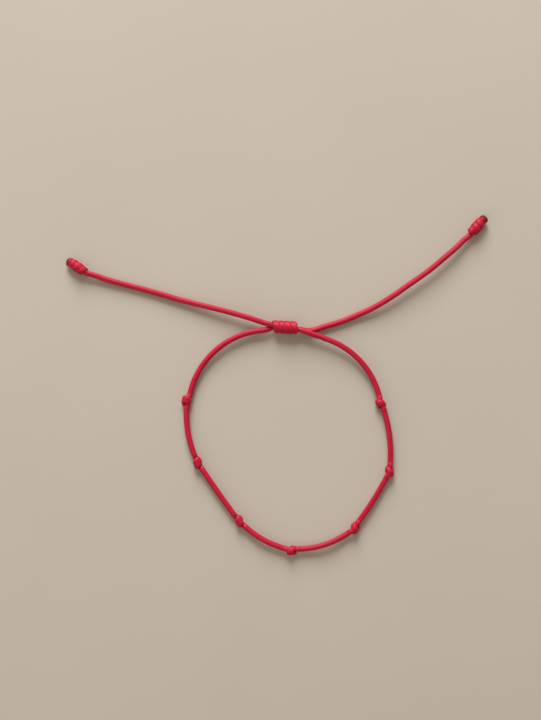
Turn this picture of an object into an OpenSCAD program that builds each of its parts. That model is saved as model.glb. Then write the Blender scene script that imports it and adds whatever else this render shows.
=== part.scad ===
// Knotted cord bracelet: one red satin cord tied into a loop with seven small knots, drawn up by a
// sliding barrel knot, with two free tails that end in stopper knots. It lies on a surface at z = 0.
// X runs across the loop, Y from the loop's low side to the sliding knot, Z up.

/* [Cord] */
// Diameter of the cord where it runs free
cord_d = 1.46; // [1.36:0.02:1.5]
// Height of the loop's centreline above the surface
lay_h = 1.2; // [1.2:0.01:1.4]

/* [Loop knots] */
// Distance from a loop knot's axis to the middle of the turn wrapped round it
knot_out = 0.87; // [0.85:0.01:0.9]
// Width of the cord where it is pressed flat in a wrapped turn
knot_wide = 1.42; // [1.3:0.02:1.44]
// Thickness of the cord in a wrapped turn
knot_thick = 0.58; // [0.54:0.02:0.6]
// How far the wrapped turn climbs along the knot in one full turn
knot_pitch = 1.6; // [1.56:0.02:1.7]
// Length of the cord's line that one loop knot takes up
knot_len = 4.8; // [4.6:0.1:5.2]
// How far a loop knot's body stands off the line of the cord
knot_lean = 0.44; // [0.4:0.01:0.46]

/* [Stopper knots] */
// Middle of the wrapped turns from the axis, on the left tail
stop_out_left = 0.98; // [0.94:0.01:1.02]
// Middle of the wrapped turns from the axis, on the right tail
stop_out_right = 1.05; // [0.98:0.01:1.1]
// How far the wrapped turns climb in one full turn
stop_pitch = 1.42; // [1.4:0.01:1.5]
// Width of the cord in the wrapped turns
stop_wide = 1.28; // [1.2:0.02:1.3]
// Length of melted tip that stands out of a stopper knot
tip_len = 0.55; // [0.3:0.05:0.9]

/* [Sliding knot] */
// Middle of the wraps from the axis, at the thick end of the barrel
slide_out = 1.36; // [1.34:0.01:1.5]
// Thickness of the wrapping cord
slide_thick = 0.66; // [0.56:0.02:0.7]
// Distance between one wrap and the next
slide_pitch = 1.42; // [1.4:0.01:1.5]
// Width of the wrapping cord
slide_wide = 1.3; // [1.2:0.02:1.32]
// Number of wraps
slide_wraps = 3.75; // [3.25:0.5:4.25]

/* [Hidden] */

cord_red = [0.74, 0.08, 0.16];
knot_red = [0.64, 0.05, 0.12];
tube_sides = 8;
// An eight-sided ring grown by this much has about the area of the round cord
ring_gain = 1.04;
steps_per_row = 2;
cord_fn = 32;
sweep_fn = 240;

// Loop knots in order, down the left side and up the right: the middle of the cord's line, its
// headings before and after the knot, and the knot's roll about it
// x, y, heading in, heading out, roll
LOOP_KNOTS = [
    [-25.84, 9.7, 260, 256, 0],
    [-23.29, -6.55, 298, 299, 45],
    [-12.63, -21.58, 313, 314, 80],
    [0.94, -28.94, 352, 361, 0],
    [17.37, -23.48, 34, 61, 50],
    [26.03, -8.68, 69, 80, 0],
    [24.65, 8.4, 103, 113, 150]
];
// How far the cord turns along each plain stretch, which is one round arc
STRETCH_TURNS = [70.5, 23.5, 2, 25.5, 30, 8.5, 20, 57];
// Where the loop's plain cord meets the two cords that cross in the sliding knot
LEFT_MOUTH = [-6.97, 27.9];
RIGHT_MOUTH = [9.63, 25.72];
// Heading of each tail where it leaves its crossing cord
left_exit_heading = 161;
right_exit_heading = 4;

// From the left side of the loop through the sliding knot to the right tail
// x, y, z, diameter
CROSSING_LEFT = [
    [LEFT_MOUTH.x, LEFT_MOUTH.y, lay_h, cord_d],
    [-6.07, 28.04, lay_h, cord_d],
    [-5.27, 28.22, 1.24, 1.42],
    [-4.77, 28.38, 1.29, 1.16],
    [-4.32, 28.52, 1.33, 0.86],
    [-3.17, 28.62, 1.35, 0.8],
    [-0.97, 28.62, 1.28, 0.8],
    [1.23, 28.57, 1.26, 0.8],
    [2.23, 28.42, 1.18, 0.84],
    [3.03, 28.22, 1, 1.08],
    [3.93, 28.02, 0.8, 1.3],
    [5.53, 27.82, 0.77, cord_d]
];
// From the left tail through the sliding knot to the right side of the loop
// x, y, z, diameter
CROSSING_RIGHT = [
    [-6.17, 29.82, 1.98, cord_d],
    [-5.27, 29.6, 2.04, 1.42],
    [-4.77, 29.44, 2.06, 1.16],
    [-4.32, 29.29, 2.06, 0.86],
    [-3.17, 29.14, 2.06, 0.8],
    [-0.97, 28.82, 2.13, 0.8],
    [1.23, 28.5, 2.13, 0.8],
    [2.23, 28.34, 2.16, 0.84],
    [3.03, 28.08, 2.22, 1.08],
    [3.93, 27.76, 2.24, 1.3],
    [5.53, 27.2, 2.22, cord_d],
    [6.93, 26.7, 1.76, cord_d],
    [8.33, 26.26, 1.36, cord_d],
    [RIGHT_MOUTH.x, RIGHT_MOUTH.y, lay_h, cord_d]
];
// Each tail from its crossing cord to its stopper knot, which closes the route
// x, y, z
LEFT_TAIL = [
    [-6.17, 29.82, 1.98],
    [-7.57, 30.3, 1.84],
    [-10.37, 31.22, 1.45],
    [-13.47, 32.12, 1.05],
    [-16.57, 32.97, 0.82],
    [-19.77, 33.77, 0.77],
    [-22.87, 34.52, 0.77],
    [-25.97, 35.32, 0.77],
    [-29.07, 36.12, 0.77],
    [-32.17, 37.07, 0.77],
    [-35.37, 37.97, 0.77],
    [-38.47, 38.82, 0.77],
    [-41.57, 39.62, 0.78],
    [-44.67, 40.42, 0.86],
    [-47.77, 41.32, 1.02],
    [-49.97, 42.1, 1.18]
];
RIGHT_TAIL = [
    [5.53, 27.82, 0.77],
    [7.23, 28.16, 0.77],
    [8.93, 28.77, 0.77],
    [12.03, 29.67, 0.78],
    [15.13, 30.72, 0.78],
    [18.23, 32.02, 0.8],
    [21.33, 33.42, 0.82],
    [24.43, 35.12, 0.84],
    [27.63, 37.17, 0.86],
    [30.73, 39.37, 0.88],
    [33.83, 41.52, 0.92],
    [36.93, 43.77, 1],
    [40.03, 46.37, 1.1],
    [43.23, 49.1, 1.24],
    [45.53, 51.32, 1.36]
];

// Stopper knots: where the tail enters, its height, the heading there and at the tip, and the roll
// x, y, z, heading, tip heading, roll
LEFT_STOPPER = [-51.62, 42.77, 1.34, 155, 151, 75];
RIGHT_STOPPER = [46.83, 52.57, 1.42, 43, 43, 250];
stopper_turns = 3;
stopper_len = 6.7;

// Sliding knot: middle, height of its axis, and heading from its left end to its right end
// x, y, z, heading
SLIDER = [-0.97, 28.77, 1.71, -4];
// How much slimmer the first wraps are than the last
slide_taper = 0.14;

function unit(v) = v / norm(v);
function square_to(v, way) = unit(v - (v * way) * way);
function flat_way(heading) = [cos(heading), sin(heading), 0];

// A smooth curve through the rows of a table, at t of the way from row i to the next
function curve_at(rows, i, t) =
    let (
        last = len(rows) - 1,
        a = rows[max(i - 1, 0)],
        b = rows[i],
        c = rows[min(i + 1, last)],
        d = rows[min(i + 2, last)]
    )
    0.5 * (2 * b + (c - a) * t + (2 * a - 5 * b + 4 * c - d) * t * t + (3 * b - a - 3 * c + d) * t * t * t);
function smooth(rows, steps) = [
    for (i = [0 : len(rows) - 2], s = [0 : steps - 1]) curve_at(rows, i, s / steps),
    rows[len(rows) - 1]
];

// Direction of travel at each point of a path, with its two ends given
function travel(path, first_way, last_way) = [
    for (i = [0 : len(path) - 1])
        i == 0 ? first_way
        : i == len(path) - 1 ? last_way
        : unit(path[i + 1] - path[i - 1])
];

// An eight-sided ring round a point of the cord, pressed to wide by thick, thin towards out
function ring(at, way, out, wide, thick) =
    let (up = square_to(out, way), side = cross(way, up))
    [
        for (i = [0 : tube_sides - 1])
            at + ring_gain / 2 * (thick * cos(360 * i / tube_sides) * up + wide * sin(360 * i / tube_sides) * side)
    ];

// A closed tube through a list of rings, skinned with triangles
module tube(rings) {
    n = tube_sides;
    last = len(rings) - 1;
    skin = [
        for (r = [0 : last - 1], i = [0 : n - 1])
            let (here = r * n, next = here + n, j = (i + 1) % n)
            each [[here + i, next + i, here + j], [here + j, next + i, next + j]]
    ];
    first_cap = [for (i = [0 : n - 1]) i];
    last_cap = [for (i = [n - 1 : -1 : 0]) last * n + i];
    polyhedron(points = [for (r = rings) each r], faces = concat(skin, [first_cap, last_cap]));
}

// A tube along a route whose rows are x, y, z and, where it changes, the diameter
module route_tube(route, first_way, last_way) {
    rows = smooth(route, steps_per_row);
    path = [for (r = rows) [r.x, r.y, r.z]];
    ways = travel(path, first_way, last_way);
    tube([
        for (i = [0 : len(path) - 1])
            let (d = len(rows[i]) > 3 ? rows[i][3] : cord_d)
            ring(path[i], ways[i], [0, 0, 1], d, d)
    ]);
}

// A knot is laid on a short line: its start and heading there, its finish and heading there, its
// roll, and its length. along runs from -1/2 to 1/2 of the length
function line_point(line, along) =
    let (t = along / line[5] + 0.5, lead = line[5] * flat_way(line[1]), trail = line[5] * flat_way(line[3]))
    (2 * t * t * t - 3 * t * t + 1) * line[0] + (t * t * t - 2 * t * t + t) * lead
    + (3 * t * t - 2 * t * t * t) * line[2] + (t * t * t - t * t) * trail;
function line_way(line, along) =
    let (t = along / line[5] + 0.5, lead = line[5] * flat_way(line[1]), trail = line[5] * flat_way(line[3]))
    unit((6 * t * t - 6 * t) * (line[0] - line[2]) + (3 * t * t - 4 * t + 1) * lead + (3 * t * t - 2 * t) * trail);
// Direction in which the cord's line lies from the knot's axis, and the one square to both
function lean_way(line, way) = let (left = unit(cross([0, 0, 1], way))) cos(line[4]) * left + sin(line[4]) * [0, 0, 1];
function cross_way(line, way) = cross(way, lean_way(line, way));

// Half of an overhand knot, from the middle of its wrapped turns outwards. The cord winds round the
// outside to one end of the knot, turns in there, and runs back through the middle to the other end.
// How far round the axis it has come, how far out from it, how far along it, width and thickness
// turn, out, along, wide, thick
function wrapped_half(turns, out, pitch, wide) =
    let (
        last = 180 * turns - 45,
        home = 180 * (turns + 1),
        reach = pitch * turns / 2,
        core_rows = turns > 1 ? 3 : 1
    )
    [
        for (turn = [0 : 45 : last]) [turn, out, -pitch * turn / 360, wide, knot_thick],
        [last + 40, 0.96 * out, -reach, 1.2, 0.6],
        [last + 86, 0.57 * out, 0.18 - reach, 1.14, 0.62],
        [last + 127, 0.29, 0.7 - reach, 0.9, 0.48],
        for (k = [1 : core_rows])
            [home - 77 - 5 * (core_rows - k), 0.28, 1.27 - reach + (k - 1) * (reach - 1.1), 0.84, 0.47]
    ];
function leave_to_cord(turns, pitch, end_at, lean) =
    let (home = 180 * (turns + 1), reach = pitch * turns / 2)
    [
        [home - 32, 0.36, reach + 0.12, 1.14, 0.62],
        [home - 18, 0.41, reach + 0.42, 1.46, 1.36],
        [home - 12, lean, reach + 0.71, cord_d, 1.32],
        [home, lean, end_at, cord_d, cord_d]
    ];
function leave_to_tip(turns, pitch, tip_len) =
    let (home = 180 * (turns + 1), reach = pitch * turns / 2)
    [
        [home - 32, 0.36, reach + 0.12, 1, 0.58],
        [home - 18, 0.4, reach + 0.46, 1.4, 1.24],
        [home - 10, 0.32, reach + 0.56 + 0.5 * tip_len, 1.62, 1.54],
        [home, 0.26, reach + 0.56 + tip_len, 1.1, 1]
    ];
function other_half(rows) = [
    for (i = [len(rows) - 1 : -1 : 1]) [-rows[i][0], rows[i][1], -rows[i][2], rows[i][3], rows[i][4]]
];

// Rings of a cord that winds round a line as its rows say. The knot's axis stands off the line by
// lean, and is lifted back to the line's height, so that every knot rests on the surface
function wound_rings(rows, line, lean) =
    let (
        fine = smooth(rows, steps_per_row),
        last = len(fine) - 1,
        outs = [
            for (r = fine)
                let (way = line_way(line, r[2]))
                cos(r[0]) * lean_way(line, way) + sin(r[0]) * cross_way(line, way)
        ],
        path = [
            for (i = [0 : last])
                let (way = line_way(line, fine[i][2]))
                line_point(line, fine[i][2]) + fine[i][1] * outs[i] - lean * lean_way(line, way)
                + lean * sin(line[4]) * (1 - pow(2 * fine[i][2] / line[5], 4)) * [0, 0, 1]
        ],
        ways = travel(path, line_way(line, fine[0][2]), line_way(line, fine[last][2]))
    )
    [for (i = [0 : last]) ring(path[i], ways[i], outs[i], fine[i][3], fine[i][4])];

// Ends of loop knot i, at side -1 and 1, and of plain stretch i, which lies between two knots
function knot_end(i, side) =
    let (k = LOOP_KNOTS[i], heading = side < 0 ? k[2] : k[3])
    [k.x, k.y] + side * knot_len / 2 * [cos(heading), sin(heading)];
function stretch_start(i) = i == 0 ? LEFT_MOUTH : knot_end(i - 1, 1);
function stretch_finish(i) = i == len(LOOP_KNOTS) ? RIGHT_MOUTH : knot_end(i, -1);
function stretch_heading(i, side) =
    let (chord = stretch_finish(i) - stretch_start(i))
    atan2(chord.y, chord.x) + side * STRETCH_TURNS[i] / 2;
function loop_line(i) = [
    [each knot_end(i, -1), lay_h], stretch_heading(i, 1),
    [each knot_end(i, 1), lay_h], stretch_heading(i + 1, -1),
    LOOP_KNOTS[i][4], knot_len
];

// A single overhand knot in the loop
module loop_knot(i) {
    half = concat(
        wrapped_half(1, knot_out, knot_pitch, knot_wide),
        leave_to_cord(1, knot_pitch, knot_len / 2, knot_lean)
    );
    color(knot_red)
        tube(wound_rings(concat(other_half(half), half), loop_line(i), knot_lean));
}

// The stopper knot on the end of a tail: an overhand knot of several turns with a melted tip
function stopper_line(s) =
    let (base = [s.x, s.y, s.z])
    [base, s[3], base + stopper_len * flat_way((s[3] + s[4]) / 2), s[4], s[5], stopper_len];
module stopper_knot(stopper, out) {
    wraps = wrapped_half(stopper_turns, out, stop_pitch, stop_wide);
    base = concat(wraps, leave_to_cord(stopper_turns, stop_pitch, stopper_len / 2, knot_lean));
    tip = concat(wraps, leave_to_tip(stopper_turns, stop_pitch, tip_len));
    color(knot_red)
        tube(wound_rings(concat(other_half(base), tip), stopper_line(stopper), knot_lean));
}

// The wraps of the sliding knot, round the two crossing cords
module sliding_knot() {
    steps = 8 * slide_wraps;
    length = slide_pitch * slide_wraps;
    rows = [
        for (k = [0 : steps])
            let (part = k / steps, tuck = k == 0 || k == steps ? 0.6 : 1)
            [
                270 + 45 * k,
                slide_out - slide_taper * pow(1 - part, 3),
                length * (part - 0.5),
                tuck * slide_wide,
                tuck * slide_thick
            ]
    ];
    middle = [SLIDER.x, SLIDER.y, SLIDER.z];
    way = flat_way(SLIDER[3]);
    line = [middle - length / 2 * way, SLIDER[3], middle + length / 2 * way, SLIDER[3], 0, length];
    color(knot_red)
        tube(wound_rings(rows, line, 0));
}

// A plain stretch of the loop, one round arc
module loop_cord(i) {
    start = stretch_start(i);
    turn = STRETCH_TURNS[i];
    heading = stretch_heading(i, -1);
    radius = norm(stretch_finish(i) - start) / (2 * sin(turn / 2));
    centre = start + radius * [-sin(heading), cos(heading)];
    color(cord_red)
        translate([centre.x, centre.y, lay_h])
            rotate([0, 0, heading - 90])
                rotate_extrude(angle = turn, $fn = sweep_fn)
                    translate([radius, 0])
                        circle(d = cord_d, $fn = cord_fn);
}

module crossing_cord_left() {
    color(cord_red)
        route_tube(CROSSING_LEFT, -flat_way(stretch_heading(0, -1)), flat_way(right_exit_heading));
}

module crossing_cord_right() {
    color(cord_red)
        route_tube(
            CROSSING_RIGHT,
            -flat_way(left_exit_heading),
            -flat_way(stretch_heading(len(LOOP_KNOTS), 1))
        );
}

// A tail, closed by the point where it enters its stopper knot
module tail(route, exit_heading, stopper) {
    color(cord_red)
        route_tube(
            concat(route, [[stopper.x, stopper.y, stopper.z]]),
            flat_way(exit_heading),
            flat_way(stopper[3])
        );
}

loop_cord(0);  // loop_cord_1
loop_knot(0);  // loop_knot_1
loop_cord(1);  // loop_cord_2
loop_knot(1);  // loop_knot_2
loop_cord(2);  // loop_cord_3
loop_knot(2);  // loop_knot_3
loop_cord(3);  // loop_cord_4
loop_knot(3);  // loop_knot_4
loop_cord(4);  // loop_cord_5
loop_knot(4);  // loop_knot_5
loop_cord(5);  // loop_cord_6
loop_knot(5);  // loop_knot_6
loop_cord(6);  // loop_cord_7
loop_knot(6);  // loop_knot_7
loop_cord(7);  // loop_cord_8
sliding_knot();
crossing_cord_left();
crossing_cord_right();
tail(LEFT_TAIL, left_exit_heading, LEFT_STOPPER);  // left_tail
stopper_knot(LEFT_STOPPER, stop_out_left);  // left_stopper_knot
tail(RIGHT_TAIL, right_exit_heading, RIGHT_STOPPER);  // right_tail
stopper_knot(RIGHT_STOPPER, stop_out_right);  // right_stopper_knot
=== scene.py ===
import math

import bmesh
import bpy
import numpy as np
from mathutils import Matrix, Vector


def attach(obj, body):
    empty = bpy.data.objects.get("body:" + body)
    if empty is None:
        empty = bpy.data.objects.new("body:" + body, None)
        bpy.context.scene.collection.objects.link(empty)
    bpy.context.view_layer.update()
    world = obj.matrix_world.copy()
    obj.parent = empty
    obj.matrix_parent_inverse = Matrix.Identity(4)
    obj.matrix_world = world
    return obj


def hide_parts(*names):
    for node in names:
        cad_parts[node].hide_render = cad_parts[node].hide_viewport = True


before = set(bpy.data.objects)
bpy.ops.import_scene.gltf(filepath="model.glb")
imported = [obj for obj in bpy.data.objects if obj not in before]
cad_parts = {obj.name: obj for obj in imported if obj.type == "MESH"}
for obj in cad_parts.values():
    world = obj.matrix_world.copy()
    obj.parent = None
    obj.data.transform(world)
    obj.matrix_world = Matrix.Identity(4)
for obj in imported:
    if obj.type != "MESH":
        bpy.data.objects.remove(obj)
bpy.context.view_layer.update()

# Camera
# The bracelet lies flat and is looked at from straight above, with its loop in the lower half of an
# upright picture and its two tails spread across the upper half.
MM = 0.001
view_middle = (-4.65 * MM, 20.23 * MM)
view_height = 350 * MM
view_tall = 187.2 * MM
# The height of the cord, at which the picture is this tall
view_level = 1.2 * MM
camera_data = bpy.data.cameras.new("overhead_camera")
camera_data.sensor_width = 36
camera_data.lens = camera_data.sensor_width * view_height / view_tall
camera_data.clip_start = 10 * MM
camera = bpy.data.objects.new("overhead_camera", camera_data)
camera.location = (*view_middle, view_height + view_level)
bpy.context.scene.collection.objects.link(camera)
bpy.context.scene.camera = camera
bpy.context.scene.view_settings.view_transform = "Standard"

# Tails
# The two free ends of the one red satin cord, which is braided of fine bright filaments. They come
# out of the sliding knot, where the left one droops and the right one rises off the surface, and run
# in a loose curve to their stopper knots.
cord_d = 1.46
cord_girth = math.pi * cord_d
ring_spacing = 0.13
ring_sides = 40
plait_strands = 8
plait_slant = 0.7
plait_relief = 0.05
# How round a strand's crown is across it and along it, from 0 for flat to 1 for a full arc
crown_across = 0.6
crown_along = 0.3
# A ring that is out of round by this much in all is as square as its cord's fullness says
full_press = 0.3
# The height over the surface that no part of the cord goes below
rest_gap = 0.008
# Rows between two rows of a table, in the cord's curve and in a coarser path that is worked out for each
# tail and not used
curve_steps = 10
stated_path_steps = 2
deep_red = (0.22, 0.002, 0.009, 1)
bright_red = (0.6, 0.009, 0.045, 1)
burnt_red = (0.14, 0.003, 0.004, 1)

# x, y, z of the route's points in millimetres
LEFT_TAIL = [
    (-6.17, 29.82, 1.98),
    (-7.57, 30.3, 1.97),
    (-10.37, 31.22, 1.94),
    (-13.47, 32.12, 1.88),
    (-16.57, 32.97, 1.76),
    (-19.77, 33.77, 1.56),
    (-22.87, 34.52, 1.32),
    (-25.97, 35.32, 1.12),
    (-29.07, 36.12, 0.96),
    (-32.17, 37.07, 0.86),
    (-35.37, 37.97, 0.8),
    (-38.47, 38.82, 0.77),
    (-41.57, 39.62, 0.78),
    (-44.67, 40.42, 0.86),
    (-47.77, 41.32, 1.02),
    (-49.97, 42.1, 1.18),
]
RIGHT_TAIL = [
    (5.53, 27.82, 0.77),
    (7.23, 28.16, 0.77),
    (8.93, 28.77, 0.77),
    (12.03, 29.67, 0.78),
    (15.13, 30.72, 0.83),
    (18.23, 32.02, 1),
    (21.33, 33.42, 1.32),
    (24.43, 35.12, 1.62),
    (27.63, 37.17, 1.84),
    (30.73, 39.37, 1.98),
    (33.83, 41.52, 2.08),
    (36.93, 43.77, 2.12),
    (40.03, 46.37, 2.08),
    (43.23, 49.1, 1.88),
    (45.53, 51.32, 1.6),
]
left_exit_heading = 161
right_exit_heading = 4
left_tail_length = 47.8
right_tail_length = 49.5
# Where each tail enters its stopper knot, its headings there, through the knot and at the tip, the
# knot's roll, how far its turns stand out, and how much less they do at its two ends
LEFT_STOPPER = {
    "start": (-52.3, 42.76, 1.34),
    "enters": 157,
    "lies": 147.5,
    "leaves": 150,
    "roll": 75,
    "out": 0.95,
    "base_slims": 0.3,
    "tip_slims": 0.24,
}
RIGHT_STOPPER = {
    "start": (47.2, 52.68, 1.42),
    "enters": 44,
    "lies": 49,
    "leaves": 48,
    "roll": 250,
    "out": 1,
    "base_slims": 0.4,
    "tip_slims": 0.12,
}
# The roll at which a ring's up direction points straight up
upright_roll = 90


def unit(rows):
    """Each vector of a list, scaled to a length of one."""
    return rows / np.linalg.norm(rows, axis=-1, keepdims=True)


def flat_way(heading):
    """The level direction that a heading in degrees points in."""
    return np.array([math.cos(math.radians(heading)), math.sin(math.radians(heading)), 0.0])


def rolled(ways, roll):
    """The direction at a roll round each way, from level left at 0 to straight up at 90."""
    up = np.array([0.0, 0.0, 1.0])
    left = unit(np.cross(up, ways))
    roll = np.radians(roll)[..., None]
    return np.cos(roll) * left + np.sin(roll) * up


def smooth(rows, steps):
    """Rows of a smooth curve through a table's rows, so many steps to each."""
    table = np.array(rows, float)
    last = len(table) - 1
    made = []
    for i in range(last):
        before = table[max(i - 1, 0)]
        here = table[i]
        after = table[i + 1]
        beyond = table[min(i + 2, last)]
        square = 2 * before - 5 * here + 4 * after - beyond
        cube = 3 * here - before - 3 * after + beyond
        for t in np.arange(steps) / steps:
            made.append(0.5 * (2 * here + (after - before) * t + square * t ** 2 + cube * t ** 3))
    made.append(table[-1])
    return np.array(made)


class Wire:
    """A node's output. Sums of wires and numbers add the Math nodes that work them out."""

    def __init__(self, tree, socket=None):
        self.tree = tree
        self.socket = socket

    def node(self, kind, settings=None, inputs=None, output=0):
        """Adds a node of any type, with its settings, then its sockets' values or wires."""
        made = self.tree.nodes.new(kind)
        for name, value in (settings or {}).items():
            setattr(made, name, value)
        for name, value in (inputs or {}).items():
            if isinstance(value, Wire):
                self.tree.links.new(value.socket, made.inputs[name])
            else:
                made.inputs[name].default_value = value
        return Wire(self.tree, made.outputs[output])

    def maths(self, operation, first, second=0.0):
        return self.node("ShaderNodeMath", {"operation": operation}, {0: first, 1: second})

    def __add__(self, other):
        return self.maths("ADD", self, other)

    __radd__ = __add__

    def __sub__(self, other):
        return self.maths("SUBTRACT", self, other)

    def __rsub__(self, other):
        return self.maths("SUBTRACT", other, self)

    def __mul__(self, other):
        return self.maths("MULTIPLY", self, other)

    def __truediv__(self, other):
        return self.maths("DIVIDE", self, other)

    def __mod__(self, other):
        return self.maths("FLOORED_MODULO", self, other)

    def __pow__(self, other):
        return self.maths("POWER", self, other)

    def floor(self):
        return self.maths("FLOOR", self)

    def size(self):
        return self.maths("ABSOLUTE", self)

    def sign(self):
        return self.maths("SIGN", self)

    def sine(self):
        return self.maths("SINE", self)

    def cosine(self):
        return self.maths("COSINE", self)

    def moved(self, other):
        """This vector and another, added."""
        return self.node("ShaderNodeVectorMath", {"operation": "ADD"}, {0: self, 1: other})

    def scaled(self, share):
        """This vector, times a number."""
        return self.node("ShaderNodeVectorMath", {"operation": "SCALE"}, {0: self, "Scale": share})

    def mixed(self, first, second):
        """The colour at this share of the way from one to another."""
        return self.node("ShaderNodeMix", {"data_type": "RGBA"}, {0: self, 6: first, 7: second}, 2)


def plait(around, along):
    """The braid at a point of the cord: its height from groove to crown, and the point's place
    across and along the strand on top. around is a share of the girth, and along is in girths."""
    right = (around + along * plait_slant) * plait_strands
    left = (around - along * plait_slant) * plait_strands
    over = (right.floor() + left.floor()) % 2
    across = over * right + (1 - over) * left
    lengthwise = over * left + (1 - over) * right
    crown = (across * math.pi).sine().size() ** crown_across
    crown = crown * (lengthwise * math.pi).sine().size() ** crown_along
    return crown, across, lengthwise


def cord_skin_nodes():
    """Nodes that skin a line with a round or pressed cord and raise its braid. Each point of the
    line carries its ring's place, up and side directions, thickness, width and place along."""
    tree = bpy.data.node_groups.new("cord_skin", "GeometryNodeTree")
    sockets = tree.interface
    sockets.new_socket(name="Line", in_out="INPUT", socket_type="NodeSocketGeometry")
    sockets.new_socket(name="Sides", in_out="INPUT", socket_type="NodeSocketInt")
    sockets.new_socket(name="Relief", in_out="INPUT", socket_type="NodeSocketFloat")
    sockets.new_socket(name="Satin", in_out="INPUT", socket_type="NodeSocketMaterial")
    sockets.new_socket(name="Cord", in_out="OUTPUT", socket_type="NodeSocketGeometry")
    given = tree.nodes.new("NodeGroupInput")
    line, sides, relief, satin = (Wire(tree, s) for s in list(given.outputs)[:4])
    rings = line.node(
        "GeometryNodeAttributeDomainSize", {"component": "MESH"}, {"Geometry": line}, "Point Count"
    )
    grid = line.node("GeometryNodeMeshGrid", {}, {"Vertices X": rings, "Vertices Y": sides + 1})
    index = line.node("GeometryNodeInputIndex")
    ring = ((index + 0.5) / (sides + 1)).floor()
    spoke = index - ring * (sides + 1)

    def carried(name, kind="FLOAT"):
        """What the line carries under this name at the ring."""
        value = line.node("GeometryNodeInputNamedAttribute", {"data_type": kind}, {"Name": name})
        return line.node(
            "GeometryNodeSampleIndex",
            {"data_type": kind, "domain": "POINT"},
            {"Geometry": line, "Value": value, "Index": ring},
        )

    around = spoke / sides
    along = carried("along")
    fullness = carried("fullness")
    crown = plait(around, along)[0]
    raised = (1 + relief * (crown - 0.5)) * 0.5
    level = (around * (2 * math.pi)).cosine()
    beside = (around * (2 * math.pi)).sine()
    high = level.sign() * level.size() ** fullness * carried("thick") * raised
    wide = beside.sign() * beside.size() ** fullness * carried("wide") * raised
    place = carried("up", "FLOAT_VECTOR").scaled(high)
    place = place.moved(carried("side", "FLOAT_VECTOR").scaled(wide))
    place = place.moved(carried("at", "FLOAT_VECTOR"))
    tube = line.node("GeometryNodeSetPosition", {}, {"Geometry": grid, "Position": place})
    layout = line.node("ShaderNodeCombineXYZ", {}, {0: around, 1: along})
    layout = line.node(
        "GeometryNodeFieldOnDomain", {"data_type": "FLOAT_VECTOR", "domain": "POINT"}, {"Value": layout}
    )
    tube = line.node(
        "GeometryNodeStoreNamedAttribute",
        {"data_type": "FLOAT2", "domain": "CORNER"},
        {"Geometry": tube, "Name": "UVMap", "Value": layout},
    )
    tube = line.node(
        "GeometryNodeStoreNamedAttribute",
        {"data_type": "FLOAT", "domain": "POINT"},
        {"Geometry": tube, "Name": "melted", "Value": carried("melted")},
    )
    tube = line.node("GeometryNodeMergeByDistance", {}, {"Geometry": tube, "Distance": 0.0001 * MM})
    tube = line.node("GeometryNodeSetShadeSmooth", {}, {"Geometry": tube})
    tube = line.node("GeometryNodeRealizeInstances", {}, {"Geometry": tube})
    tube = line.node("GeometryNodeSetMaterial", {}, {"Geometry": tube, "Material": satin})
    result = tree.nodes.new("NodeGroupOutput")
    tree.links.new(tube.socket, result.inputs["Cord"])
    return tree


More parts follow.
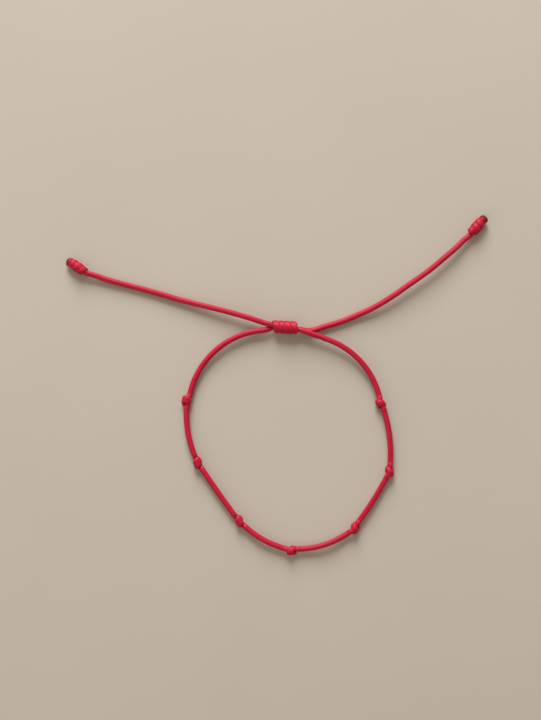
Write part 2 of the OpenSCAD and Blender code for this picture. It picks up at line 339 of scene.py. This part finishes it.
def satin_material():
    """Red satin: bright filaments braided in strands, with painted shade, a deeper red, in the grooves
    between them and in two shallow creases along the cord, and burnt dark where the cord's end was
    melted."""
    filaments_across = 8
    filaments_along = 0.9
    patch_scale = 300
    crease_place = 0.3
    crease_wander = 0.25
    crease_sharpness = 14
    crease_breadth = 1.3
    # How much brighter or darker each of these makes the red, from deep_red at 0 to bright_red at 1.
    # The crown and crease shares are painted shade: the red is deeper in the grooves and creases
    crown_painted_shade = 0.38
    thread_shade = 0.6
    patch_shade = 0.3
    crease_painted_shade = 0.34
    least_shade = 0.07
    crown_bump = 0.6
    thread_bump = 0.5
    crease_bump = 0.5
    bump_strength = 0.55
    bump_distance = 0.03 * MM
    even_roughness = 0.45
    roughness_change = 0.2
    satin_specular = 0.22
    material = bpy.data.materials.new("red_satin_cord")
    material.use_nodes = True
    tree = material.node_tree
    tree.nodes.clear()
    shader = tree.nodes.new("ShaderNodeBsdfPrincipled")
    result = tree.nodes.new("ShaderNodeOutputMaterial")
    tree.links.new(shader.outputs["BSDF"], result.inputs["Surface"])
    layout = Wire(tree).node("ShaderNodeUVMap", {"uv_map": "UVMap"})
    around = layout.node("ShaderNodeSeparateXYZ", {}, {0: layout}, "X")
    along = layout.node("ShaderNodeSeparateXYZ", {}, {0: layout}, "Y")
    crown, across, lengthwise = plait(around, along)
    strand_place = layout.node(
        "ShaderNodeCombineXYZ", {}, {0: across * filaments_across, 1: lengthwise * filaments_along}
    )
    filaments = layout.node("ShaderNodeTexNoise", {}, {"Vector": strand_place, "Scale": 1, "Detail": 2})
    where = Wire(tree).node("ShaderNodeTexCoord", {}, {}, "Object")
    patches = layout.node("ShaderNodeTexNoise", {}, {"Vector": where, "Scale": patch_scale, "Detail": 3})
    melted = layout.node("ShaderNodeAttribute", {"attribute_name": "melted"}, {}, "Fac")
    threads = filaments * crown
    # The creases both sink the bump and darken the red as painted shade
    lane = ((around * 2 + patches * crease_wander + crease_place) % 1 - 0.5).size()
    crease = layout.node("ShaderNodeClamp", {}, {0: crease_breadth - lane * crease_sharpness})
    # Painted shade: deeper red in the grooves between strands and along the creases
    shade = crown * crown_painted_shade + threads * thread_shade + patches * patch_shade
    shade = shade - crease * crease_painted_shade + least_shade
    ramp = layout.node("ShaderNodeClamp", {}, {0: shade})
    red = melted.mixed(ramp.mixed(deep_red, bright_red), burnt_red)
    roughness = even_roughness + (filaments - 0.5) * roughness_change + melted * roughness_change
    height = crown * crown_bump + threads * thread_bump - crease * crease_bump
    bump = layout.node(
        "ShaderNodeBump", {}, {"Strength": bump_strength, "Distance": bump_distance, "Height": height}
    )
    tree.links.new(red.socket, shader.inputs["Base Color"])
    tree.links.new(roughness.socket, shader.inputs["Roughness"])
    tree.links.new(bump.socket, shader.inputs["Normal"])
    shader.inputs["Specular IOR Level"].default_value = satin_specular
    return material


cord_skin = cord_skin_nodes()
cord_satin = satin_material()


def lay(places, outs, wide, thick, melted=0.0):
    """Rings at even distances along a path, each with its place, outward direction and sizes."""
    steps = np.linalg.norm(np.diff(places, axis=0), axis=1)
    along = np.concatenate([[0.0], np.cumsum(steps)])
    even = np.linspace(0, along[-1], max(3, round(along[-1] / ring_spacing) + 1))
    ones = np.ones(len(places))
    columns = np.column_stack([places, outs, ones * wide, ones * thick, ones * melted])
    rings = np.column_stack([np.interp(even, along, column) for column in columns.T])
    return {
        "at": rings[:, 0:3],
        "out": rings[:, 3:6],
        "wide": rings[:, 6],
        "thick": rings[:, 7],
        "melted": rings[:, 8],
        "along": even,
    }


def skin(name, rings, first_way, last_way, fullness=1.0, begins=0.0):
    """A closed cord through a list of rings, round where it is free and squarer, by the fullness,
    where it is pressed. begins is how much of the cord lies before it."""
    ways = unit(np.gradient(rings["at"], axis=0))
    ways[0] = first_way
    ways[-1] = last_way
    up = unit(rings["out"] - (rings["out"] * ways).sum(1)[:, None] * ways)
    out_of_round = abs(rings["wide"] - cord_d) + abs(rings["thick"] - cord_d)
    pressed = np.clip(out_of_round / full_press, 0, 1)
    carried = {
        "at": rings["at"] * MM,
        "up": up,
        "side": np.cross(ways, up),
        "wide": rings["wide"] * MM,
        "thick": rings["thick"] * MM,
        "fullness": 1 + (fullness - 1) * pressed,
        "melted": rings["melted"],
        "along": (rings["along"] + begins) / cord_girth,
    }
    line = bpy.data.meshes.new(name + "_line")
    count = len(ways)
    line.from_pydata(carried["at"].tolist(), [(i, i + 1) for i in range(count - 1)], [])
    for key, values in carried.items():
        vectors = values.ndim == 2
        attribute = line.attributes.new(key, "FLOAT_VECTOR" if vectors else "FLOAT", "POINT")
        attribute.data.foreach_set("vector" if vectors else "value", values.astype(np.float32).ravel())
    maker = bpy.data.objects.new(name + "_maker", line)
    bpy.context.scene.collection.objects.link(maker)
    modifier = maker.modifiers.new("cord_skin", "NODES")
    modifier.node_group = cord_skin
    inputs = {"Sides": ring_sides, "Relief": plait_relief, "Satin": cord_satin}
    for item in cord_skin.interface.items_tree:
        if item.name in inputs:
            modifier[item.identifier] = inputs[item.name]
    depsgraph = bpy.context.evaluated_depsgraph_get()
    mesh = bpy.data.meshes.new_from_object(
        maker.evaluated_get(depsgraph), preserve_all_data_layers=True, depsgraph=depsgraph
    )
    maker.modifiers.clear()
    bpy.data.objects.remove(maker)
    shape = bmesh.new()
    shape.from_mesh(mesh)
    rims = [edge for edge in shape.edges if edge.is_boundary]
    for edge in rims:
        edge.smooth = False
    bmesh.ops.holes_fill(shape, edges=rims, sides=0)
    bmesh.ops.recalc_face_normals(shape, faces=shape.faces)
    for vertex in shape.verts:
        vertex.co.z = max(vertex.co.z, rest_gap * MM)
    shape.to_mesh(mesh)
    shape.free()
    mesh.name = name
    piece = bpy.data.objects.new(name, mesh)
    bpy.context.scene.collection.objects.link(piece)
    return piece


def tail(name, route, exit_heading, stopper):
    """One tail, which turns about itself from its exit to the roll of its stopper knot."""
    places = smooth(route + [stopper["start"]], curve_steps)
    roll = np.linspace(upright_roll, stopper["roll"], len(places))
    ways = np.gradient(places, axis=0)
    rings = lay(places, rolled(ways, roll), cord_d, cord_d)
    enters = flat_way(stopper["enters"])
    return skin(name, rings, flat_way(exit_heading), enters), rings["along"][-1]


left_tail, left_tail_long = tail("satin_left_tail", LEFT_TAIL, left_exit_heading, LEFT_STOPPER)
right_tail, right_tail_long = tail("satin_right_tail", RIGHT_TAIL, right_exit_heading, RIGHT_STOPPER)

# Stopper knots
# Each tail ends in an overhand knot with three turns wound round its own end, pulled hard, and a
# short stub that was cut and melted dark with a flame so that it can't fray or slip back.
stopper_length = 6
stopper_turns = 3
stopper_pitch = 1.3
stopper_wide = 1.82
stopper_thick = 0.94
stopper_fullness = 0.68
knot_lean = 0.44
tip_neck = 0.56
tip_length = 0.5
settle_length = 1.4
# The rows of a knot say, for each point of its cord, its turn in degrees round the knot's axis,
# its distance out from that and along it, the cord's width and thickness, and how melted it is.
# home is the turn at which a stopper knot's cord leaves it, and reach is half its wrapped length.
row_turn = 45
home = 180 * (stopper_turns + 1)
reach = stopper_pitch * stopper_turns / 2


def wrapped_half(out, slims):
    """Half of a stopper knot, from the middle of its wrapped turns: round the outside to one end,
    in there, and back through the middle."""
    last = 180 * stopper_turns - row_turn
    rows = []
    for turn in range(0, last + 1, row_turn):
        slimmed = out * (1 - slims * (turn / last) ** 2)
        rows.append((turn, slimmed, -stopper_pitch * turn / 360, stopper_wide, stopper_thick, 0))
    out = out * (1 - slims)
    rows += [
        (last + 40, 0.97 * out, -reach, 0.94 * stopper_wide, stopper_thick, 0),
        (last + 86, 0.64 * out, 0.16 - reach, 0.86 * stopper_wide, 1.05 * stopper_thick, 0),
        (last + 127, 0.36, 0.62 - reach, 1.3, 1.1, 0),
    ]
    for k in range(3):
        rows.append((home - 87 + 5 * k, 0.28, 1.27 - reach + k * (reach - 1.1), 1.25, 1.1, 0))
    return rows


def leave_to_cord():
    """Out of the stopper knot's middle into plain round cord."""
    return [
        (home - 32, 0.36, reach + 0.06, 1.42, 1.34, 0),
        (home - 14, 0.42, reach + 0.4, cord_d, 1.44, 0),
        (home - 2, knot_lean, reach + 0.74, cord_d, cord_d, 0),
        (home, knot_lean, stopper_length / 2, cord_d, cord_d, 0),
    ]


def leave_to_tip():
    """Out of the stopper knot's middle into a stub that ends in a melted, rounded bead."""
    tip = reach + tip_neck + tip_length
    return [
        (home - 32, 0.28, tip - 1.2, 1.8, 1.7, 0),
        (home - 20, 0.24, tip - 0.96, 2.14, 2.06, 0.1),
        (home - 12, 0.22, tip - 0.64, 2.2, 2.12, 0.5),
        (home - 6, 0.22, tip - 0.32, 2.06, 1.98, 0.95),
        (home - 3, 0.22, tip - 0.06, 1.76, 1.7, 1),
        (home, 0.22, tip + 0.18, 1.2, 1.15, 1),
        (home, 0.22, tip + 0.29, 0.45, 0.42, 1),
    ]


def other_half(rows):
    """The mirror-wound half of a knot, without the row in the middle."""
    return [(-turn, out, -along, *rest) for turn, out, along, *rest in rows[:0:-1]]


def line_at(line, along):
    """Points and directions on the short line that a knot is laid on."""
    t = (along / line["length"] + 0.5)[:, None]
    start = np.array(line["start"], float)
    finish = np.array(line["finish"], float)
    lead = line["length"] * flat_way(line["enters"])
    trail = line["length"] * flat_way(line["leaves"])
    point = (2 * t ** 3 - 3 * t ** 2 + 1) * start + (t ** 3 - 2 * t ** 2 + t) * lead
    point = point + (3 * t ** 2 - 2 * t ** 3) * finish + (t ** 3 - t ** 2) * trail
    way = (6 * t ** 2 - 6 * t) * (start - finish) + (3 * t ** 2 - 4 * t + 1) * lead
    way = way + (3 * t ** 2 - 2 * t) * trail
    return point, unit(way)


def wound(rows, line, lean):
    """Rings of a cord wound round a line. The knot's axis stands off the line by lean and is lifted
    back to the line's height, so that every knot rests on the surface, and settles at its ends."""
    fine = smooth(rows, curve_steps)
    turn = np.radians(fine[:, 0])[:, None]
    out = fine[:, 1][:, None]
    along = fine[:, 2]
    point, way = line_at(line, along)
    lean_way = rolled(way, np.full(len(fine), line["roll"]))
    outward = np.cos(turn) * lean_way + np.sin(turn) * np.cross(way, lean_way)
    settled = np.clip((abs(along) - line["length"] / 2 + settle_length) / settle_length, 0, 1)
    lift = lean * math.sin(math.radians(line["roll"])) * (1 - settled ** 2 * (3 - 2 * settled))
    places = point + out * outward - lean * lean_way
    places[:, 2] += lift
    return lay(places, outward, fine[:, 3], fine[:, 4], np.clip(fine[:, 5], 0, 1)), way[0], way[-1]


def stopper_knot(name, stopper, begins):
    """The knot at the end of a tail, with its melted stub."""
    finish = np.array(stopper["start"]) + stopper_length * flat_way(stopper["lies"])
    line = {**stopper, "finish": finish, "length": stopper_length}
    base = wrapped_half(stopper["out"], stopper["base_slims"]) + leave_to_cord()
    tip = wrapped_half(stopper["out"], stopper["tip_slims"]) + leave_to_tip()
    rings, first_way, last_way = wound(other_half(base) + tip, line, knot_lean)
    return skin(name, rings, first_way, last_way, stopper_fullness, begins)


left_knot = stopper_knot("satin_left_stopper_knot", LEFT_STOPPER, left_tail_long)
right_knot = stopper_knot("satin_right_stopper_knot", RIGHT_STOPPER, right_tail_long)
for piece, node in (
    (left_tail, "left_tail"),
    (right_tail, "right_tail"),
    (left_knot, "left_stopper_knot"),
    (right_knot, "right_stopper_knot"),
):
    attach(piece, "root")
    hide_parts(node)
for piece, knot, route, stopper, length in (
    (left_tail, left_knot, LEFT_TAIL, LEFT_STOPPER, left_tail_length),
    (right_tail, right_knot, RIGHT_TAIL, RIGHT_STOPPER, right_tail_length),
):
    tuple(c * MM for c in route[0])
    length * MM
    (smooth(route + [stopper["start"]], stated_path_steps) * MM).tolist()

# Loop
# One plain cord goes round the wrist, with seven single overhand knots tied in it at even
# distances. Each knot bends the cord a little, and the stretches between them are round arcs.
lay_height = 1.2
loop_knot_length = 4.8
loop_knot_reach = 0.5
loop_knot_fullness = 0.96
arc_steps = 80
# x, y of the cord's line at each knot, its headings before and after it, and the knot's roll
LOOP_KNOTS = [
    (-25.92, 9.42, 260, 256, 20),
    (-23.38, -6.38, 298, 299, -70),
    (-12.63, -21.58, 313, 314, -85),
    (0.94, -28.94, 352, 361, 40),
    (17.37, -23.52, 34, 61, 58),
    (26.08, -8.6, 69, 80, 62),
    (24.46, 9, 103, 113, 130),
]
# How far each plain stretch turns, in degrees, and how high its middle arches over its knots
STRETCH_TURNS = (70.5, 23.5, 2, 25.5, 30, 8.5, 20, 57)
STRETCH_ARCHES = (0, 0, 0, 0.15, 0.3, 0, 0, 0)
# x, y, z where the loop's two ends come off the sliding knot
LEFT_MOUTH = (-6.97, 27.9, 1.6)
RIGHT_MOUTH = (9.63, 25.72, 1.94)


def knot_end(i, side):
    """Where loop knot i meets the cord before it, at side -1, or after it, at side 1."""
    x, y, before, after, _ = LOOP_KNOTS[i]
    way = flat_way(before if side < 0 else after)
    return np.array([x, y, lay_height]) + side * loop_knot_length / 2 * way


def stretch(i):
    """Ends of plain stretch i of the loop, and its headings there."""
    start = np.array(LEFT_MOUTH) if i == 0 else knot_end(i - 1, 1)
    finish = np.array(RIGHT_MOUTH) if i == len(LOOP_KNOTS) else knot_end(i, -1)
    chord = finish - start
    heading = math.degrees(math.atan2(chord[1], chord[0]))
    return start, finish, heading - STRETCH_TURNS[i] / 2, heading + STRETCH_TURNS[i] / 2


def loop_cord(i, begins):
    """Plain stretch i, a round arc that turns about itself from one knot's roll to the next and
    arches from one's height to the other's."""
    start, finish, first, last = stretch(i)
    turn = math.radians(last - first)
    radius = np.linalg.norm((finish - start)[:2]) / (2 * math.sin(turn / 2))
    centre = start + radius * flat_way(first + 90)
    headings = np.linspace(first, last, arc_steps)
    places = np.array([centre - radius * flat_way(heading + 90) for heading in headings])
    part = np.linspace(0, 1, arc_steps)
    places[:, 2] += (finish[2] - start[2]) * part ** 2 * (3 - 2 * part)
    places[:, 2] += STRETCH_ARCHES[i] * np.sin(math.pi * part) ** 2
    ways = np.array([flat_way(heading) for heading in headings])
    rolls = [upright_roll, *(knot[4] for knot in LOOP_KNOTS), upright_roll]
    outs = rolled(ways, np.linspace(rolls[i], rolls[i + 1], arc_steps))
    rings = lay(places, outs, cord_d, cord_d)
    piece = skin(f"satin_loop_cord_{i + 1}", rings, ways[0], ways[-1], begins=begins)
    return piece, rings["along"][-1]


def overhand_half():
    """Half of a single overhand knot pulled into an egg: its one turn crosses the front, goes round
    the back, turns in and comes out under itself."""
    return [
        (0, 0.7, 0, 1.84, 1.2, 0),
        (45, 0.71, -0.62 * loop_knot_reach, 1.84, 1.2, 0),
        (90, 0.71, -loop_knot_reach, 1.84, 1.18, 0),
        (135, 0.7, -loop_knot_reach, 1.8, 1.16, 0),
        (175, 0.68, -0.7 * loop_knot_reach, 1.74, 1.18, 0),
        (215, 0.58, -0.04, 1.6, 1.2, 0),
        (255, 0.44, 0.3, 1.46, 1.24, 0),
        (295, 0.36, 0.66, 1.42, 1.3, 0),
        (328, 0.38, 0.98, 1.44, 1.38, 0),
        (345, 0.42, 1.32, cord_d, 1.44, 0),
        (358, knot_lean, 1.66, cord_d, cord_d, 0),
        (360, knot_lean, loop_knot_length / 2, cord_d, cord_d, 0),
    ]


def loop_knot(i, begins):
    """Loop knot i, one overhand knot pulled tight."""
    line = {
        "start": knot_end(i, -1),
        "enters": stretch(i)[3],
        "finish": knot_end(i, 1),
        "leaves": stretch(i + 1)[2],
        "roll": LOOP_KNOTS[i][4],
        "length": loop_knot_length,
    }
    half = overhand_half()
    rings, first_way, last_way = wound(other_half(half) + half, line, knot_lean)
    name = f"satin_loop_knot_{i + 1}"
    piece = skin(name, rings, first_way, last_way, loop_knot_fullness, begins)
    return piece, rings["along"][-1]


laid_length = 0.0
for i in range(len(LOOP_KNOTS) + 1):
    makers = [(loop_cord, "loop_cord")]
    if i < len(LOOP_KNOTS):
        makers.append((loop_knot, "loop_knot"))
    for make, kind in makers:
        piece, length = make(i, laid_length)
        laid_length += length
        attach(piece, "root")
        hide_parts(f"{kind}_{i + 1}")

# Crossing cords
# The loop's two ends cross inside the sliding knot and come out on the other side as the tails:
# the left one runs low and straight through, and the right one comes over the left tail.
# x, y, z, diameter
CROSSING_LEFT = [
    (*LEFT_MOUTH, cord_d),
    (-6.07, 28.04, 1.56, cord_d),
    (-5.27, 28.22, 1.48, 1.44),
    (-4.77, 28.38, 1.42, 1.3),
    (-4.32, 28.52, 1.38, 1.1),
    (-3.17, 28.62, 1.35, 1),
    (-0.97, 28.62, 1.28, 1),
    (1.23, 28.57, 1.26, 1),
    (2.23, 28.42, 1.18, 1.1),
    (3.03, 28.22, 1, 1.3),
    (3.93, 28.02, 0.8, 1.42),
    (5.53, 27.82, 0.77, cord_d),
]
CROSSING_RIGHT = [
    (-6.17, 29.82, 1.98, cord_d),
    (-5.27, 29.6, 2.04, 1.44),
    (-4.77, 29.44, 2.06, 1.3),
    (-4.32, 29.29, 2.06, 1.1),
    (-3.17, 29.14, 2.06, 1),
    (-0.97, 28.82, 2.13, 1),
    (1.23, 28.5, 2.13, 1),
    (2.23, 28.34, 2.16, 1.1),
    (3.03, 28.08, 2.22, 1.3),
    (3.93, 27.76, 2.24, 1.42),
    (5.53, 27.2, 2.22, cord_d),
    (6.93, 26.7, 2.12, cord_d),
    (8.33, 26.26, 2, cord_d),
    (*RIGHT_MOUTH, cord_d),
]


def crossing_cord(name, route, first_heading, last_heading):
    """A cord through the sliding knot, squeezed thinner inside it."""
    fine = smooth(route, curve_steps)
    up = np.tile([0.0, 0.0, 1.0], (len(fine), 1))
    rings = lay(fine[:, :3], up, fine[:, 3], fine[:, 3])
    return skin(name, rings, flat_way(first_heading), flat_way(last_heading))


left_mouth_heading = stretch(0)[2] + 180
right_mouth_heading = stretch(len(LOOP_KNOTS))[3] + 180
crossing_left = crossing_cord(
    "satin_crossing_cord_left", CROSSING_LEFT, left_mouth_heading, right_exit_heading
)
crossing_right = crossing_cord(
    "satin_crossing_cord_right", CROSSING_RIGHT, left_exit_heading + 180, right_mouth_heading
)
for piece, node in ((crossing_left, "crossing_cord_left"), (crossing_right, "crossing_cord_right")):
    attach(piece, "root")
    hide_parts(node)

# Sliding knot
# A separate length of the same cord, wound nearly four times round both crossing cords and pulled
# tight into a small barrel. It slides along them and holds the loop at the size it is drawn to.
slider_middle = (-1, 28.74, 1.74)
slider_heading = -4
slider_first_turn = 270
slider_wraps = 3.75
slider_pitch = 1.46
slider_out = 1.27
slider_taper = 0.12
slider_wide = 1.84
slider_thick = 0.98
slider_fullness = 0.78
slider_tuck = 0.6
# How far the last turn is pushed away from the others, from which share of the winding on, and
# over how much of it
slider_push = 0.14
slider_push_from = 0.62
slider_push_over = 0.2

barrel_length = slider_pitch * slider_wraps
barrel_way = flat_way(slider_heading)
barrel_line = {
    "start": np.array(slider_middle) - barrel_length / 2 * barrel_way,
    "enters": slider_heading,
    "finish": np.array(slider_middle) + barrel_length / 2 * barrel_way,
    "leaves": slider_heading,
    "roll": 0,
    "length": barrel_length,
}
barrel_rows = []
last_row = round(360 / row_turn * slider_wraps)
for k in range(last_row + 1):
    part = k / last_row
    turn = slider_first_turn + row_turn * k
    tuck = slider_tuck if k in (0, last_row) else 1
    wrap_out = slider_out - slider_taper * (1 - part) ** 2
    pushed = slider_push * min(max((part - slider_push_from) / slider_push_over, 0), 1)
    place = barrel_length * (part - 0.5) + pushed
    barrel_rows.append((turn, wrap_out, place, tuck * slider_wide, tuck * slider_thick, 0))
barrel_rings = wound(barrel_rows, barrel_line, 0)[0]
barrel_first = unit(barrel_rings["at"][1] - barrel_rings["at"][0])
barrel_last = unit(barrel_rings["at"][-1] - barrel_rings["at"][-2])
sliding_knot = skin("satin_sliding_knot", barrel_rings, barrel_first, barrel_last, slider_fullness)
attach(sliding_knot, "root")
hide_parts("sliding_knot")

# Surface
# A plain warm beige table top with a faint mottle, on which the bracelet lies.
surface_size = 3
surface_mottle = 22
surface_light = (0.482, 0.43, 0.366, 1)
surface_dark = (0.452, 0.399, 0.336, 1)
surface_roughness = 0.75
surface_specular = 0.2
surface_mesh = bpy.data.meshes.new("table_top")
half = surface_size / 2
surface_mesh.from_pydata(
    [(-half, -half, 0), (half, -half, 0), (half, half, 0), (-half, half, 0)], [], [(0, 1, 2, 3)]
)
surface = bpy.data.objects.new("table_top", surface_mesh)
bpy.context.scene.collection.objects.link(surface)
surface_material = bpy.data.materials.new("beige_table_top")
surface_material.use_nodes = True
surface_shader = surface_material.node_tree.nodes["Principled BSDF"]
surface_where = Wire(surface_material.node_tree).node("ShaderNodeTexCoord", {}, {}, "Object")
mottle = surface_where.node(
    "ShaderNodeTexNoise", {}, {"Vector": surface_where, "Scale": surface_mottle, "Detail": 4}
)
surface_colour = mottle.mixed(surface_dark, surface_light)
surface_material.node_tree.links.new(surface_colour.socket, surface_shader.inputs["Base Color"])
surface_shader.inputs["Roughness"].default_value = surface_roughness
surface_shader.inputs["Specular IOR Level"].default_value = surface_specular
surface_mesh.materials.append(surface_material)

# Light
# Soft daylight comes in low from beyond the top of the picture, a little to the left. A large pale
# wall on the near left and the warm room fill the shadows.
window_distance = 1.15
window_elevation = 28.5
window_heading = 97
window_width = 0.55
window_tall = 0.68
window_power = 19.9
window_colour = (0.95, 0.985, 1)
wall_distance = 0.8
wall_elevation = 35
wall_heading = 218
wall_size = 0.7
wall_power = 1.4
wall_colour = (1, 0.9, 0.79)
room_colour = (1, 0.885, 0.77, 1)
room_strength = 0.39


def soft_light(name, distance, elevation, heading, wide, tall, power, colour):
    """A wide soft light that faces the bracelet."""
    data = bpy.data.lights.new(name, "AREA")
    data.shape = "RECTANGLE"
    data.size = wide
    data.size_y = tall
    data.energy = power
    data.color = colour
    light = bpy.data.objects.new(name, data)
    level = flat_way(heading) * math.cos(math.radians(elevation))
    way = Vector((level[0], level[1], math.sin(math.radians(elevation))))
    light.location = way * distance
    light.rotation_mode = "QUATERNION"
    light.rotation_quaternion = (-way).to_track_quat("-Z", "Y")
    bpy.context.scene.collection.objects.link(light)


soft_light(
    "window_light",
    window_distance,
    window_elevation,
    window_heading,
    window_width,
    window_tall,
    window_power,
    window_colour,
)
soft_light(
    "wall_light",
    wall_distance,
    wall_elevation,
    wall_heading,
    wall_size,
    wall_size,
    wall_power,
    wall_colour,
)
room = bpy.data.worlds.new("warm_room")
room.use_nodes = True
room.node_tree.nodes["Background"].inputs["Color"].default_value = room_colour
room.node_tree.nodes["Background"].inputs["Strength"].default_value = room_strength
bpy.context.scene.world = room
